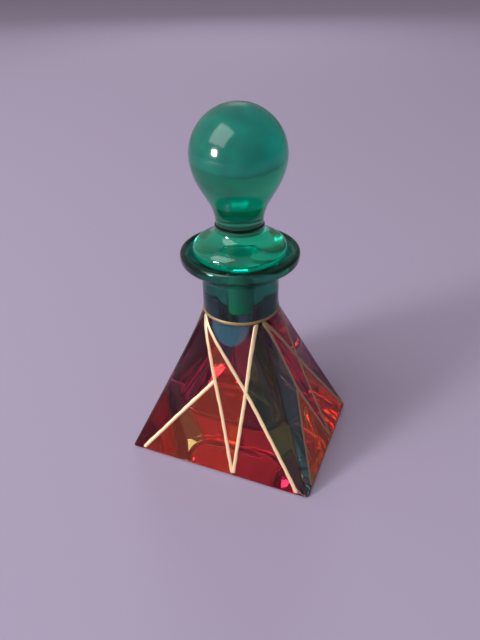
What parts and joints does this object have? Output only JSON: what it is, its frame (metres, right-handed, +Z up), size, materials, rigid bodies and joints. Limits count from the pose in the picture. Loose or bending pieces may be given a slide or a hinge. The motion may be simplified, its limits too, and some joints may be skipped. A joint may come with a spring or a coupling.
{
  "type": "stoppered bottle",
  "caption": "Small pyramid-shaped glass scent bottle with stained colour panels, raised gold strokes, a round neck with a saucer lip, and a lift-out ball stopper.",
  "frame": {"origin": "middle of the flat base, on the axis of neck and stopper", "axes": "+Z up along the neck, -Y out of the wide front face, +X along its base edge to the right"},
  "size_m": [0.068, 0.052, 0.12],
  "materials": {
    "clear_glass": "clear moulded glass, polished, with softly rounded ridges",
    "green_glass": "deep emerald glass, fire polished",
    "green_stain": "transparent emerald stain over clear glass, glossy",
    "gold_paint": "matt champagne gold relief paint, hand drawn, slightly raised",
    "crimson_stain": "transparent crimson glass stain, brushed thin",
    "red_stain": "transparent red glass stain, brushed thin",
    "orange_stain": "transparent orange-red glass stain, brushed thin",
    "plum_stain": "transparent plum glass stain, brushed thin",
    "dark_green_stain": "transparent dark green glass stain, brushed thin",
    "slate_stain": "transparent slate blue glass stain, brushed thin"
  },
  "bodies": {
    "bottle": {"bottle": "clear_glass", "neck_stain": "green_stain", "neck_band": "gold_paint", "gold_strokes_front": "gold_paint", "gold_strokes_right": "gold_paint", "gold_strokes_back": "gold_paint", "gold_strokes_left": "gold_paint", "stain_front_left": "crimson_stain", "stain_front_low": "red_stain", "stain_front_narrow": "red_stain", "stain_front_top": "plum_stain", "stain_front_base": "crimson_stain", "stain_front_right": "dark_green_stain", "stain_right_left": "slate_stain", "stain_right_low": "orange_stain", "stain_right_narrow": "crimson_stain", "stain_right_top": "crimson_stain", "stain_right_base": "red_stain", "stain_right_right": "plum_stain", "stain_back_left": "crimson_stain", "stain_back_low": "red_stain", "stain_back_narrow": "red_stain", "stain_back_top": "plum_stain", "stain_back_base": "crimson_stain", "stain_back_right": "dark_green_stain", "stain_left_left": "slate_stain", "stain_left_low": "orange_stain", "stain_left_narrow": "crimson_stain", "stain_left_top": "crimson_stain", "stain_left_base": "plum_stain", "stain_left_right": "dark_green_stain"},
    "stopper": {"stopper": "green_glass"}
  },
  "joints": [
    {"name": "stopper_lift", "type": "slide", "parent": "bottle", "child": "stopper", "axis": [0, 0, 1], "range_m": [0, 0.03]}
  ]
}
